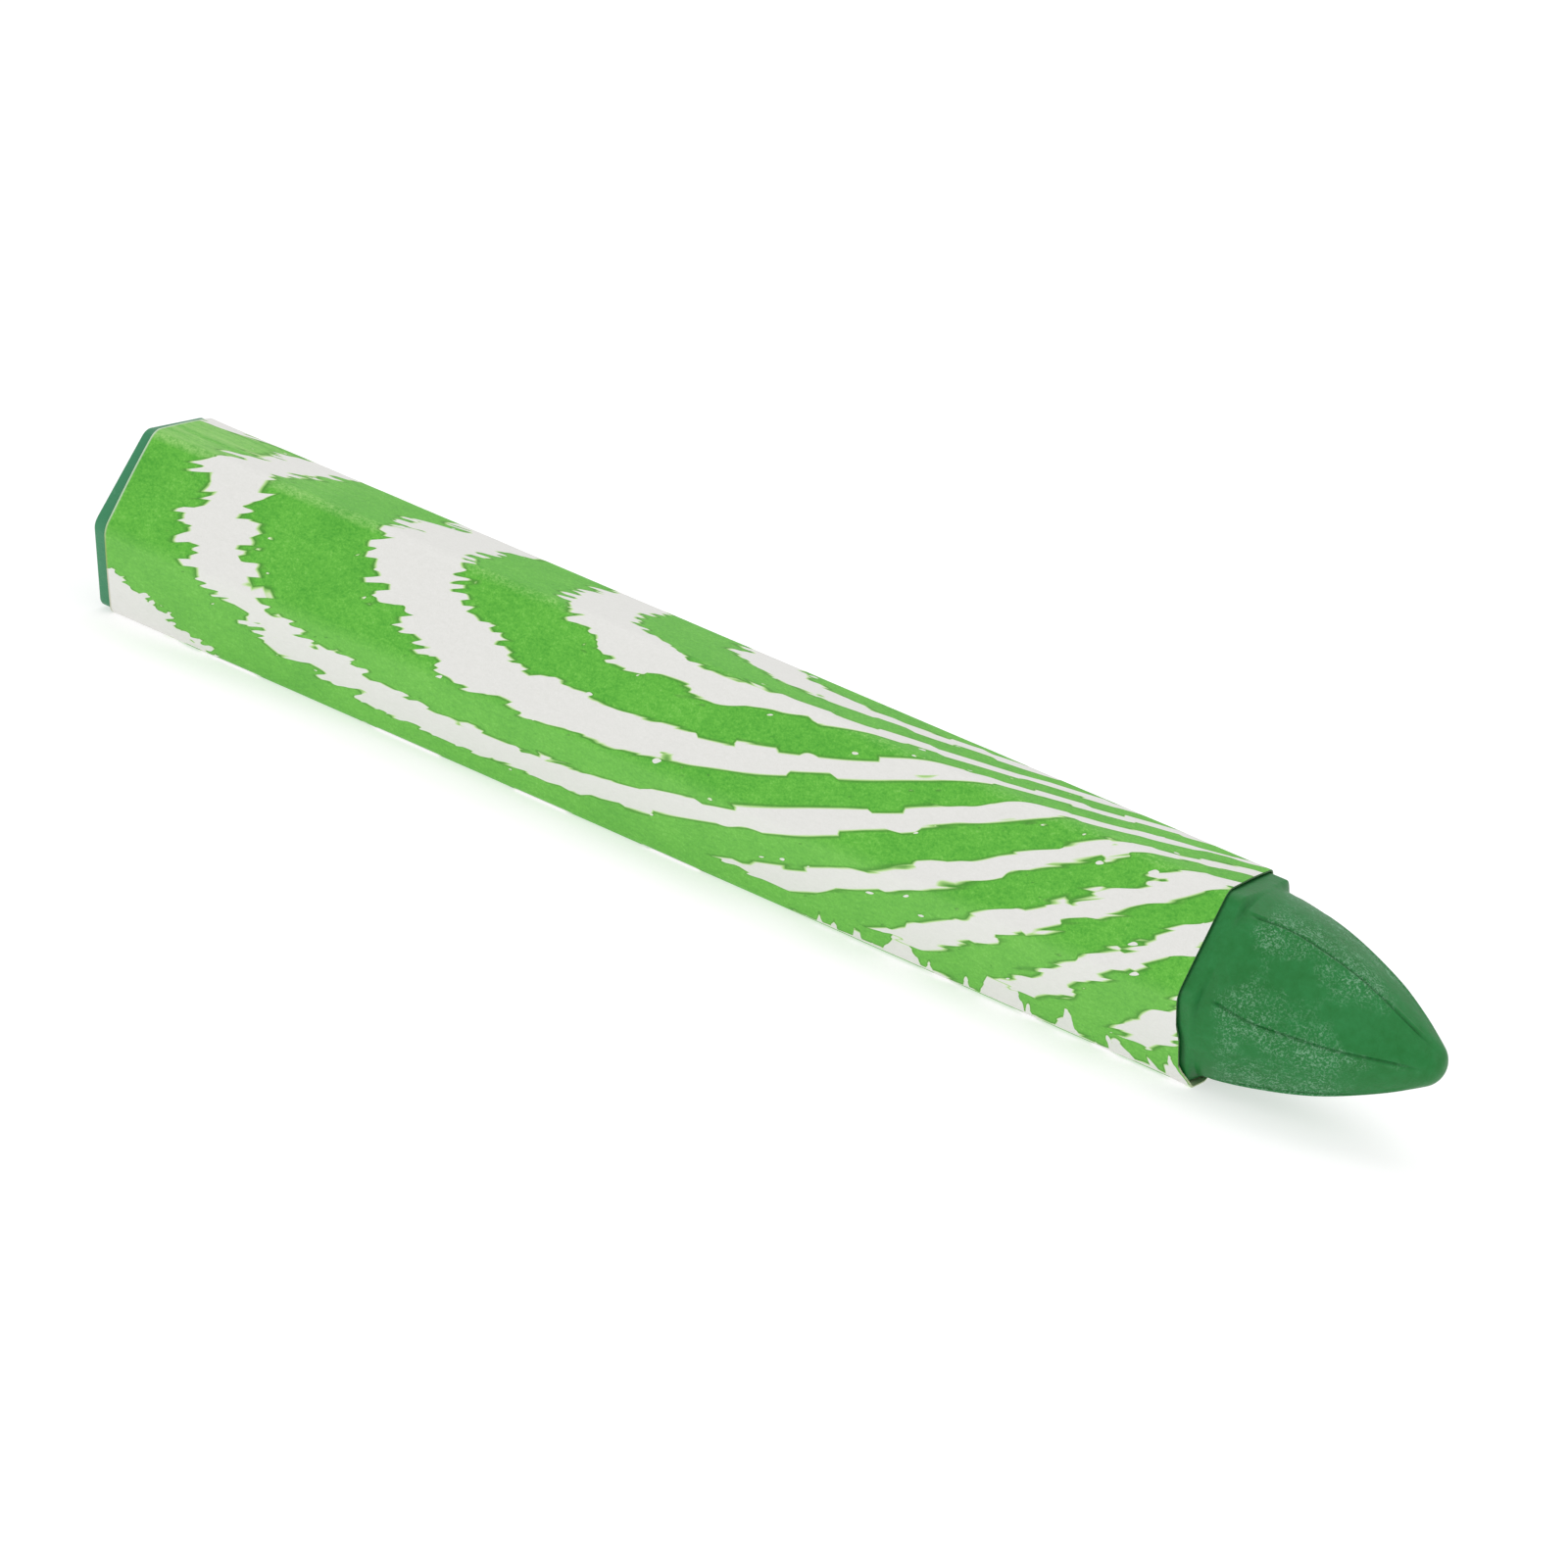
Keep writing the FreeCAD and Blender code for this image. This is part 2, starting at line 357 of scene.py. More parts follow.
@dataclass(frozen=True)
class Grain:
    """The printed wood grain: growth rings of a board sawn off the pith, seen along its face.

    A ring number is worked out for every place on the sheet, from the distance along it and the
    distance round it, in millimetres. Far along, the rings are arms of a fan of straight lines
    through one point off the sheet, and the number grows with the logarithm of a line's slope.
    Near the rear they are heads that cross the sheet, each a shallow bow. The two numbers are
    joined as the sides of a rounded corner are, by a sum of powers. White shows near every whole
    number.
    """

    fan_along: float = 143.7
    fan_round: float = -38.6
    arm_start: float = -0.881
    arm_pitch: float = 0.1
    arm_crowding: float = -2.72
    head_start: float = 47.8
    head_pitch: float = 10.66
    head_crowding: float = -0.061
    head_bow: float = 0.02
    head_middle: float = 0.6
    softness: float = 2.0
    lift: float = 5.0
    corner_power: float = 2.7
    repeat: float = 27.02
    fibre_slope: float = -0.38
    band: float = 0.215
    head_narrowing: float = 0.095
    arm_narrowing: float = 0.04
    lower_limit: float = 11.3

    def ring_number(self, along: Value, around: Value) -> Value:
        """Number of the growth ring at a place of the sheet."""
        slope = (around - self.fan_round) / (self.fan_along - along)
        log_slope = slope.at_least(0.001).log() - self.arm_start
        arm = log_slope / self.arm_pitch + log_slope * log_slope * self.arm_crowding
        from_middle = around - self.head_middle
        head = (from_middle * from_middle * self.head_bow + self.head_start - along) / self.head_pitch
        head = head + head * head * self.head_crowding
        arm = self.above_zero(arm + self.lift)
        head = self.above_zero(head + self.lift)
        power = self.corner_power
        return (arm ** power + head ** power) ** (1.0 / power) - self.lift

    def above_zero(self, number: Value) -> Value:
        """The number where it is well above 0, and a small positive one where it is below."""
        root = (number * number + self.softness ** 2) ** 0.5
        return (number + root) * 0.5


@dataclass(frozen=True)
class Tear:
    """How far the edges of the white are torn, in millimetres.

    sway, finger and splinter draw them along the fibre, in ever finer noises, and step moves them
    across it. calm is the share taken off where the arms run along the stick. torn_corner is the
    height of the teeth at the rear corner, and hill and spike are the heights of the ragged rise
    along the front of the sheet's lower side.
    """

    sway: float = 0.9
    finger: float = 0.9
    splinter: float = 1.1
    step: float = 0.42
    calm: float = 0.45
    torn_corner: float = 0.8
    hill: float = 1.9
    spike: float = 1.0


@dataclass(frozen=True)
class Corner:
    """A white corner of the sheet's rear edge, in millimetres.

    It begins at a distance round the sheet from the camera facet's middle, narrows by a slope and
    ends after its reach along the sheet.
    """

    start: float
    slope: float
    reach: float

    def inside(self, around: Value, along: Value) -> Value:
        """How far inside the corner a place is."""
        return (around - along * self.slope - self.start).at_most(self.reach - along)


@dataclass(frozen=True)
class PrintedPaperFinish:
    """Uncoated label paper printed leaf green over warm white, the white left as wood grain."""

    grain: Grain = field(default_factory=Grain)
    tear: Tear = field(default_factory=Tear)
    near_corner: Corner = Corner(8.4, 0.46, 14.0)
    far_corner: Corner = Corner(11.4, 0.26, 10.0)
    hill_foot: float = 13.3
    hills_from: float = 66.0
    green: Colour = (0.135, 0.500, 0.048)
    deep_green: Colour = (0.062, 0.355, 0.022)
    # paler green: thin ink on bare fibres, and painted sheen on the facets beside the camera's
    thin_ink_and_sheen_green: Colour = (0.270, 0.600, 0.140)
    outline: Colour = (0.055, 0.225, 0.022)
    fringe: Colour = (0.56, 0.78, 0.33)
    worn_brown: Colour = (0.38, 0.36, 0.17)
    white: Colour = (0.775, 0.770, 0.745)
    shaded_white: Colour = (0.700, 0.700, 0.665)

    def build(self) -> bpy.types.Material:
        """Make the material.

        The ink's cover follows the fibres, the paper's tooth and a broad cloud, and the facets beside
        the camera's are painted paler as a sheen. The ink is worn on the far arris and faded in streaks
        at the far rear. A pale fringe and a dark outline go round the white, and the rear edge shows its cut.
        """
        shader = Shader("printed_paper")
        along, around, arris = shader.parts(shader.attribute("sheet"))
        inside = self.bands(shader, along, around)
        white = inside.ramp(-0.05, 0.05)
        fringe = inside.ramp(-0.15, -0.02)
        outline = inside.ramp(-0.38, -0.15) - fringe
        place = shader.object_place()
        fibres = shader.noise(shader.scaled(place, (0.8, 1.4, 1.4)), 2.0, 4.0, 0.8)
        tooth = shader.noise(place, 5.0, 2.0, 0.7)
        cloud = shader.noise(place, 0.28, 2.0, 0.5)
        cover = (fibres * 0.60 + tooth * 0.45 + cloud * 0.25 + 0.60).ramp(0.0, 1.0)
        green = shader.mix(cover, self.deep_green, self.green)
        bare_fibre = (tooth * 0.6 + fibres * 0.6 + cloud * 0.2).ramp(0.35, 1.15)
        green = shader.mix(bare_fibre * 0.75, green, self.thin_ink_and_sheen_green)
        # painted sheen: the facets beside the camera's are mixed towards the paler green, more on one side
        # than the other
        thin = abs(around).ramp(3.9, 5.2) * (around.ramp(-2.0, 2.0) * 0.10 + 0.14)
        green = shader.mix(thin, green, self.thin_ink_and_sheen_green)
        near_rear = along.ramp(45.0, 0.0)
        far_side = around.ramp(3.0, -3.0)
        streak = shader.flat_noise(along * 0.10, around * 1.1, 3.0, 2.0, 0.6)
        worn = arris * far_side * (fibres * 0.6 + tooth * 0.3 + near_rear * 0.6)
        faded = around.ramp(-3.8, -5.2) * along.ramp(20.0, 2.0) * (streak * 0.5 + fibres * 0.2 + 0.45)
        green = shader.mix(worn.at_least(faded).at_least(0.0).at_most(1.0) * 0.42, green, self.fringe)
        green = shader.mix(outline * 0.75, green, self.outline)
        shade = (fibres * 0.5 + tooth * 0.3 + 0.4).ramp(0.0, 1.0)
        paper = shader.mix(shade * 0.6, self.white, self.shaded_white)
        colour = shader.mix(fringe * 0.85, green, self.fringe)
        colour = shader.mix(white, colour, paper)
        rear_edge = shader.mix(around.ramp(3.0, 6.0), self.white, self.worn_brown)
        colour = shader.mix(along.ramp(0.20, 0.06) * 0.6, colour, rear_edge)
        shader.set(Base_Color=colour, Roughness=fibres * 0.04 + white * 0.08 + 0.62)
        shader.set(IOR=1.45, Specular_IOR_Level=0.42)
        shader.bump(fibres * 0.5 + tooth * 0.25 + cloud * 0.6 - white * 0.25, 0.02)
        return shader.material

    def bands(self, shader: Shader, along: Value, around: Value) -> Value:
        """How far inside the white of the print a place is, in millimetres, less than 0 outside.

        The edges are torn along the fibre: the place is moved along it by noises that change
        quickly across it. Their peaks are cut level, which makes blunt fingers. Another noise moves
        the edges across the fibre by small steps, and a last one puts a few loose white dots beside
        them. Where the arms run along the stick the fingers are shorter.

        Args:
            shader: the material's tree.
            along: millimetres from the sheet's rear edge.
            around: millimetres round the sheet from the middle of the facet at the camera.

        Returns:
            The distance.
        """
        grain, tear = self.grain, self.tear
        turns = (around / grain.repeat).nearest_whole()
        motif = around - turns * grain.repeat
        across = motif - along * grain.fibre_slope
        sway = shader.flat_noise(along * 0.07, across * 0.30, turns * 7.0, 1.0)
        finger = shader.flat_noise(along * 0.16, across * 0.80, turns * 5.0 + 3.0)
        splinter = shader.flat_noise(along * 0.20, across * 1.35, turns * 3.0 + 9.0)
        fleck = shader.flat_noise(along * 0.9, across * 1.6, turns * 4.0 + 6.0)
        blunt = finger.ramp(-0.22, 0.22) * tear.finger + splinter.ramp(-0.16, 0.16) * tear.splinter
        blunt = blunt - (tear.finger + tear.splinter) / 2.0
        calm = along.ramp(26.0, 44.0) * along.ramp(80.0, 66.0) * tear.calm
        drawn = (sway * tear.sway + blunt) * (1.0 - calm)
        place_along = along + drawn
        step = shader.flat_noise(along * 0.19, motif * 0.30, turns + 11.0, 0.5)
        stepped = step.ramp(-0.10, 0.10) * tear.step - tear.step / 2.0
        place_round = motif + drawn * grain.fibre_slope + stepped
        ring = grain.ring_number(place_along, place_round)
        narrow = place_along.ramp(46.0, 12.0) * ring.ramp(2.2, 2.9) * grain.head_narrowing
        narrow = narrow + place_along.ramp(35.0, 68.0) * grain.arm_narrowing
        width = sway * 0.02 + finger * 0.012 + grain.band - narrow
        ring_pitch = place_along.ramp(70.0, 15.0) * 7.0 + 4.6
        inside = (width - abs(ring - ring.nearest_whole())) * ring_pitch
        dots = ((fleck - 1.20) * 2.0).at_most(inside + 0.8)
        inside = inside.at_least(dots)
        ragged = motif + blunt * 0.18 + splinter * 0.08
        inside = inside.at_most((grain.lower_limit - ragged) * 3.0)
        torn = ragged + fleck.ramp(-0.3, 0.3) * tear.torn_corner - tear.torn_corner / 2.0
        near_corner = self.near_corner.inside(torn, place_along)
        far_corner = self.far_corner.inside(ragged * -1.0, place_along)
        hill = shader.flat_noise(along * 0.23, turns + 4.0, 2.0).ramp(0.05, 0.42)
        spike = shader.flat_noise(along * 0.9, turns + 8.0, 5.0).ramp(0.25, 0.6)
        rise = hill * tear.hill + spike * tear.spike
        hills = (ragged + rise - self.hill_foot).at_most((along - self.hills_from) * 0.5)
        return inside.at_least(near_corner).at_least(far_corner).at_least(hills)


@dataclass(frozen=True)
class BarePaperFinish:
    """The unprinted side and the cut edges of the sheet, painted dark green near the front edge as shade."""

    white: Colour = (0.66, 0.72, 0.50)
    shade: Colour = (0.48, 0.56, 0.28)
    # painted shade: dark green for the bare paper at the front edge
    front_edge_shade: Colour = (0.010, 0.110, 0.025)

    def build(self) -> bpy.types.Material:
        """Make the material."""
        shader = Shader("bare_paper")
        place = shader.object_place()
        fibres = shader.noise(place, 3.5, 4.0, 0.65)
        colour = shader.mix((fibres * 0.4 + 0.4).ramp(0.0, 1.0), self.white, self.shade)
        along, _, _ = shader.parts(place)
        # painted shade: the bare paper near the front edge is darkened, as shade in the gap at the collar
        front_edge_shaded = along.ramp(39.0, 40.0) * along.ramp(41.6, 41.35)
        colour = shader.mix(front_edge_shaded * 0.9, colour, self.front_edge_shade)
        shader.set(Base_Color=colour, Roughness=fibres * 0.05 + 0.85)
        shader.bump(fibres, 0.02)
        return shader.material


@dataclass(frozen=True)
class GlueFinish:
    """Dried paste: thin, dull, a little yellow, darker in patches."""

    pale: Colour = (0.72, 0.66, 0.50)
    dark: Colour = (0.55, 0.47, 0.30)

    def build(self) -> bpy.types.Material:
        """Make the material."""
        shader = Shader("dried_paste")
        place = shader.object_place()
        patches = shader.noise(place, 0.8, 3.0, 0.6)
        colour = shader.mix((patches * 0.4 + 0.4).ramp(0.0, 1.0), self.pale, self.dark)
        shader.set(Base_Color=colour, Roughness=patches * 0.1 + 0.55)
        shader.bump(patches, 0.01)
        return shader.material


# ---- pieces ----


def add_piece(name: str, points: np.ndarray, faces: np.ndarray, sharp_degrees: float) -> bpy.types.Object:
    """Make a mesh object at the origin from whole arrays.

    Args:
        name: the piece's name.
        points: one row of x, y, z for each vertex, in metres.
        faces: one row of four vertex numbers for each face; a repeated last number is a triangle.
        sharp_degrees: edges that turn by more than this stay crisp.

    Returns:
        The object, linked to the scene.
    """
    triangle = faces[:, 2] == faces[:, 3]
    polygons = [row[:3] for row in faces[triangle].tolist()] + faces[~triangle].tolist()
    mesh = bpy.data.meshes.new(name)
    mesh.from_pydata(points.tolist(), [], polygons)
    mesh.validate()
    mesh.shade_smooth()
    mesh.set_sharp_from_angle(angle=math.radians(sharp_degrees))
    piece = bpy.data.objects.new(name, mesh)
    bpy.context.scene.collection.objects.link(piece)
    return piece


def grid_faces(rows: int, columns: int, first: int = 0, closed: bool = False) -> np.ndarray:
    """Quads of a grid of vertices that is stored row after row.

    Args:
        rows: vertices along the grid.
        columns: vertices across it.
        first: number of the grid's first vertex.
        closed: whether the last column joins the first.

    Returns:
        Vertex numbers, one row for each quad.
    """
    across = np.arange(columns if closed else columns - 1)
    row, column = np.meshgrid(np.arange(rows - 1), across, indexing="ij")
    here = row * columns + column
    beside = row * columns + (column + 1) % columns
    quads = np.stack([here, here + columns, beside + columns, beside], axis=-1)
    return quads.reshape(-1, 4) + first


@dataclass
class WaxStick:
    """The casting: hexagonal shank, its collar and rear end, and the six-sided ogive tip."""

    low: Vector
    high: Vector
    axis_height: float
    wrapper: "PaperWrapper"
    flats_half: float = 7.75
    arris_radius: float = 1.2
    rear_round: float = 0.28
    collar_round: float = 0.3
    tip_length: float = 17.8
    facet_step: float = 0.03
    facet_slope: float = 6.5
    corner_step: float = 0.82
    corner_slope: float = 4.0
    nose_radius: float = 2.05
    crease_depth: float = 0.16
    crease_half_width: float = 0.11
    crease_aside: float = 0.3
    crease_crossing: float = 2.1
    crease_twist: float = 0.09
    # painted shade: how dark the creases are painted
    crease_painted_shade: float = 0.62
    bead_share: float = 0.3
    unevenness: float = 0.035
    # painted shade line under the collar's edge: its width and its darkness
    collar_shade_line_width: float = 0.14
    collar_shade_line_darkness: float = 0.4
    # painted shadow ahead of the wrapper's front edge: its width, and how much wider it is below
    paper_shadow_width: float = 0.16
    paper_shadow_width_below: float = 0.22
    shadow_reach: float = 8.0
    bloom_all_round: float = 0.55
    bloom_beside_creases: float = 0.52
    per_facet: int = 56
    crowding: float = 1.7
    finish: WaxFinish = field(default_factory=WaxFinish)

    def corner_radius(self) -> float:
        """Distance from the axis to the crown of a shank arris."""
        return (self.flats_half - self.arris_radius) / math.cos(HALF_TURN) + self.arris_radius

    def directions(self) -> tuple[np.ndarray, np.ndarray]:
        """Angles about the axis, closer together at the arrises.

        Returns:
            Each direction's angle, and its angle from the middle of its facet.
        """
        t = np.linspace(-1.0, 1.0, self.per_facet, endpoint=False)
        from_middle = np.sign(t) * (1.0 - (1.0 - np.abs(t)) ** self.crowding) * HALF_TURN
        middles = FACET_0_ANGLE + TURN * np.arange(SIDES)
        return (middles[:, None] + from_middle).ravel(), np.tile(from_middle, SIDES)

    def shank_radius(self, from_middle: np.ndarray, inset: np.ndarray) -> np.ndarray:
        """Distance to a hexagon with round corners, drawn in by an inset.

        On a flat it is the flat's distance over the cosine. Past the end of the flat it is where
        the direction meets the arris's circle.
        """
        half = self.flats_half - inset
        radius = np.maximum(self.arris_radius - inset, 0.05)
        flat_end = (half - radius) * math.tan(HALF_TURN)
        angle = np.abs(from_middle)
        centre = (half - radius) / math.cos(HALF_TURN)
        off = HALF_TURN - angle
        reach = np.sqrt(np.maximum(radius ** 2 - (centre * np.sin(off)) ** 2, 0.0))
        on_flat = half * np.tan(angle) <= flat_end
        return np.where(on_flat, half / np.cos(angle), centre * np.cos(off) + reach)

    def ogive(self, ahead: np.ndarray, base: float, base_slope: float) -> np.ndarray:
        """Half height of an ogive: a long arc from the base, tangent to the ball of the nose."""
        slope = math.radians(base_slope)
        inward = (-math.sin(slope), -math.cos(slope))
        ball = self.tip_length - self.nose_radius
        lean = -inward[0] * ball + inward[1] * base
        radius = (ball ** 2 + base ** 2 - self.nose_radius ** 2) / (-2.0 * (lean + self.nose_radius))
        centre = (inward[0] * radius, base + inward[1] * radius)
        reach = math.hypot(ball - centre[0], centre[1])
        tangent = centre[0] + (ball - centre[0]) / reach * radius
        side = centre[1] + np.sqrt(np.maximum(radius ** 2 - (ahead - centre[0]) ** 2, 0.0))
        nose = np.sqrt(np.maximum(self.nose_radius ** 2 - (ahead - ball) ** 2, 0.0))
        return np.where(ahead < tangent, side, nose)

    def tip_radius(self, ahead: np.ndarray, from_middle: np.ndarray) -> np.ndarray:
        """Distance to the tip's surface.

        Each facet is a shallow arc through its middle and its two corners. Its middle follows one
        ogive and its corners another, and both run into the round nose. A fine crease, with a low
        bead of wax on each side, follows every arris.
        """
        ahead = np.clip(ahead, 0.0, self.tip_length)
        middle = self.ogive(ahead, self.flats_half - self.facet_step, self.facet_slope)
        corner = self.ogive(ahead, self.corner_radius() - self.corner_step, self.corner_slope)
        across = corner * math.sin(HALF_TURN)
        rise = np.maximum(middle - corner * math.cos(HALF_TURN), 1e-6)
        arc = (across ** 2 + rise ** 2) / (2.0 * rise)
        behind = middle - arc
        root = np.sqrt(np.maximum(arc ** 2 - (behind * np.sin(from_middle)) ** 2, 0.0))
        radius = behind * np.cos(from_middle) + root
        off_crease = self.off_crease(ahead, from_middle, radius)
        bead = np.exp(-((off_crease - 2.5 * self.crease_half_width) / self.crease_half_width) ** 2)
        bead = bead * self.crease_fade(ahead)
        return radius - self.crease_depth * (self.crease(ahead, off_crease) - self.bead_share * bead)

    def off_crease(self, ahead: np.ndarray, from_middle: np.ndarray, radius: np.ndarray) -> np.ndarray:
        """Distance across to the nearest crease.

        At the collar a crease starts on the odd-numbered facet beside its arris, crosses the arris
        and runs on the even-numbered facet until both meet at the nose.
        """
        before = np.where(from_middle < 0.0, -1.0, 1.0)
        off_arris = radius * (HALF_TURN - np.abs(from_middle)) * before
        odd = np.repeat(np.arange(SIDES) % 2 * 2.0 - 1.0, self.per_facet)
        swing = 1.0 - self.crease_crossing * smooth_step(ahead, 0.3, 5.0)
        aside = self.crease_aside * swing * (1.0 - smooth_step(ahead, 9.0, 15.5)) * odd * before
        lean = self.crease_twist * smooth_step(ahead, 8.0, 12.0)
        return np.abs(off_arris - aside + lean)

    def crease_fade(self, ahead: np.ndarray) -> np.ndarray:
        """How deep the crease is along the tip, from 0 to 1: none at the collar and the nose."""
        end = self.tip_length
        return smooth_step(ahead, 0.5, 1.6) * (1.0 - smooth_step(ahead, end - 3.2, end - 0.8))

    def crease(self, ahead: np.ndarray, off_crease: np.ndarray) -> np.ndarray:
        """Depth of the crease as a share of its full depth: a bell curve across it."""
        return np.exp(-(off_crease / self.crease_half_width) ** 2) * self.crease_fade(ahead)

    def stations(self) -> tuple[np.ndarray, np.ndarray, np.ndarray]:
        """Sections along the stick, from the rear pole to the apex.

        Returns:
            Each section's place along X in millimetres, how far the shank is drawn in there, and
            how much of the full section it has.
        """
        rear = self.low.x / MM
        apex = self.high.x / MM
        collar = apex - self.tip_length
        bend = np.linspace(0.0, math.pi / 2.0, 7)
        face = np.linspace(0.0, 1.0, 12)[:-1]
        x = [np.full(face.size, rear), rear + self.rear_round * (1.0 - np.cos(bend))]
        inset = [np.full(face.size, self.rear_round), self.rear_round * (1.0 - np.sin(bend))]
        share = [face, np.ones(bend.size)]
        shank = np.linspace(rear + 2.0, collar - 2.0, 20)
        edge = np.linspace(collar - 1.6, collar + 1.6, 60)
        swing = np.linspace(0.0, math.pi / 2.0, 92)[1:-1]
        tip = collar + 1.6 + (self.tip_length - 1.6) * np.sin(swing)
        for part in (shank, edge, tip):
            x.append(part)
            inset.append(np.zeros(part.size))
            share.append(np.ones(part.size))
        return np.concatenate(x), np.concatenate(inset), np.concatenate(share)

    def build(self) -> bpy.types.Object:
        """Make the casting as one closed skin with a pole at each end.

        A section's distance from the axis goes from the shank's to the tip's over the collar's
        rounded edge. A faint unevenness of the cast skin is added, and none on the rear face.
        """
        angle, from_middle = self.directions()
        x, inset, share = self.stations()
        collar = self.high.x / MM - self.tip_length
        ahead = (x - collar)[:, None]
        shank = self.shank_radius(from_middle[None, :], inset[:, None])
        tip = self.tip_radius(ahead, from_middle[None, :])
        edge = self.collar_round
        into_tip = smooth_step(ahead, -edge, edge * 0.9)
        radius = (shank * (1.0 - into_tip) + tip * into_tip) * share[:, None]
        skin = waviness(x[:, None], 9.0 * np.cos(angle)[None, :] + 7.0 * np.sin(angle)[None, :], 11.0, 2.0)
        exposed = smooth_step(ahead, -1.0, 3.0) * (1.0 - smooth_step(ahead, 12.0, self.tip_length))
        radius = radius + self.unevenness * skin * exposed
        grid = np.stack([
            np.broadcast_to(x[:, None], radius.shape),
            radius * np.cos(angle)[None, :],
            radius * np.sin(angle)[None, :] + self.axis_height / MM,
        ], axis=-1)[1:]
        rows, columns = grid.shape[:2]
        poles = np.array([[x[0], 0.0, self.axis_height / MM], [self.high.x / MM, 0.0, self.axis_height / MM]])
        points = np.concatenate([grid.reshape(-1, 3), poles]) * MM
        faces = [grid_faces(rows, columns, closed=True)[:, ::-1]]
        column = np.arange(columns)
        after = (column + 1) % columns
        rear_pole = np.full(columns, rows * columns)
        apex_pole = rear_pole + 1
        last = (rows - 1) * columns
        faces.append(np.stack([rear_pole, after, column, column], axis=-1))
        faces.append(np.stack([apex_pole, last + column, last + after, last + after], axis=-1))
        piece = add_piece("wax_casting", points, np.concatenate(faces), 50.0)
        self.mark(piece, np.broadcast_to(ahead, radius.shape)[1:], angle, from_middle, radius[1:])
        piece.data.materials.append(self.finish.build())
        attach(piece, "root")
        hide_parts("wax_stick")
        return piece

    def mark(self, piece: bpy.types.Object, ahead: np.ndarray, angle: np.ndarray,
             from_middle: np.ndarray, radius: np.ndarray) -> None:
        """Store on the mesh where shade is painted on the wax, and where bloom gathers.

        Shade is painted in the creases and under the collar's edge at the arrises, and a painted
        shadow lies in the gap under the wrapper's front edge. Bloom is heaviest on the flanks of the tip
        up to two thirds of its length, most of all on the even-numbered facets.

        Args:
            piece: the casting.
            ahead: millimetres ahead of the collar of each vertex of the grid.
            angle: angle about the axis of each column.
            from_middle: angle from the middle of its facet of each column.
            radius: distance from the axis of each vertex of the grid.
        """
        crease = self.crease(ahead, self.off_crease(ahead, from_middle, radius)) * (ahead > 0.0)
        at_arris = smooth_step(np.abs(from_middle), 0.5 * HALF_TURN, HALF_TURN)
        # painted shade: a dark line under the collar's edge near the arrises
        collar_shade_line = np.exp(-((ahead - 0.1) / self.collar_shade_line_width) ** 2) * at_arris
        collar_shade_line = collar_shade_line * self.collar_shade_line_darkness
        camera_angle = FACET_0_ANGLE + CAMERA_FACET * TURN
        past_camera = (angle - camera_angle + math.pi) % (2.0 * math.pi) - math.pi
        around = past_camera * self.wrapper.unrolled_turn() / (2.0 * math.pi)
        collar = self.high.x / MM - self.tip_length
        paper_end = self.wrapper.high.x / MM - collar + self.wrapper.front_shift(around)
        # painted shadow: the wax is darkened in a band just ahead of the wrapper's front edge, wider
        # underneath
        gap = self.paper_shadow_width + self.paper_shadow_width_below * smooth_step(around, 5.0, 11.0)
        shadow = 1.0 - smooth_step(ahead - paper_end, 0.6 * gap, 1.5 * gap)
        shadow = shadow * smooth_step(ahead, -self.shadow_reach, -0.5 * self.shadow_reach)
        even = np.repeat(1.0 - np.arange(SIDES) % 2, self.per_facet)
        beside = smooth_step(np.abs(from_middle), 0.15 * HALF_TURN, 0.7 * HALF_TURN)
        spread = self.bloom_all_round + self.bloom_beside_creases * even * beside
        bloom = smooth_step(ahead, 0.3, 3.0) * (1.0 - 0.8 * smooth_step(ahead, 9.5, 15.0)) * spread
        # painted shade: the darkest of the crease, collar-line and wrapper-shadow marks
        dark = np.maximum(np.maximum(crease * self.crease_painted_shade, collar_shade_line), shadow)
        rows = np.stack(np.broadcast_arrays(dark, bloom, np.zeros(1)), axis=-1)
        store = piece.data.attributes.new("casting", "FLOAT_VECTOR", "POINT")
        marks = np.concatenate([rows.reshape(-1, 3), np.zeros((2, 3))])
        store.data.foreach_set("vector", marks.ravel().astype(np.float32))


